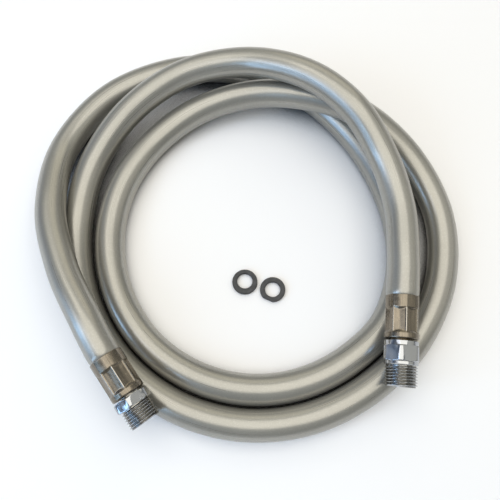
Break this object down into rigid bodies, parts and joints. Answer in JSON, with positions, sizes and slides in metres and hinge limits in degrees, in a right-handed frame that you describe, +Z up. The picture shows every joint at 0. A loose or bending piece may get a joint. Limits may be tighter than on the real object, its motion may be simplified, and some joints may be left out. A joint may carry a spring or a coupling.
{
  "type": "shower hose",
  "caption": "Smooth grey shower hose in a loose coil, with crimped ferrules, male pipe threads, a swivel coupling at one end and loose flat washers.",
  "frame": {"origin": "centre of the coiled hose's box, on the floor it lies on", "axes": "+Z up, +X to the side of the swivel coupling, -Y to the side that both threads point to"},
  "size_m": [0.3097, 0.3023, 0.0655],
  "materials": {
    "pvc": "smooth silver-grey satin, with fine metallic pigment",
    "nickel": "thin nickel plate, pressed by the crimping jaws",
    "chrome": "bright chrome plate",
    "brass": "as turned",
    "steel": "drawn wire",
    "rubber": "matt"
  },
  "bodies": {
    "hose": {"hose_tube": "pvc", "fixed_ferrule": "nickel", "fixed_fitting": "chrome", "swivel_ferrule": "nickel", "swivel_stem": "brass", "o_ring_1": "rubber", "o_ring_2": "rubber", "flat_washer_1": "rubber", "flat_washer_2": "rubber"},
    "swivel": {"swivel_body": "chrome", "retaining_ring": "steel"}
  },
  "joints": [
    {"name": "swivel_turn", "type": "hinge", "parent": "hose", "child": "swivel", "pos_m": [0.09996, -0.09495, 0.03433], "axis": [-0.0921, -0.9933, -0.0698], "continuous": true}
  ]
}
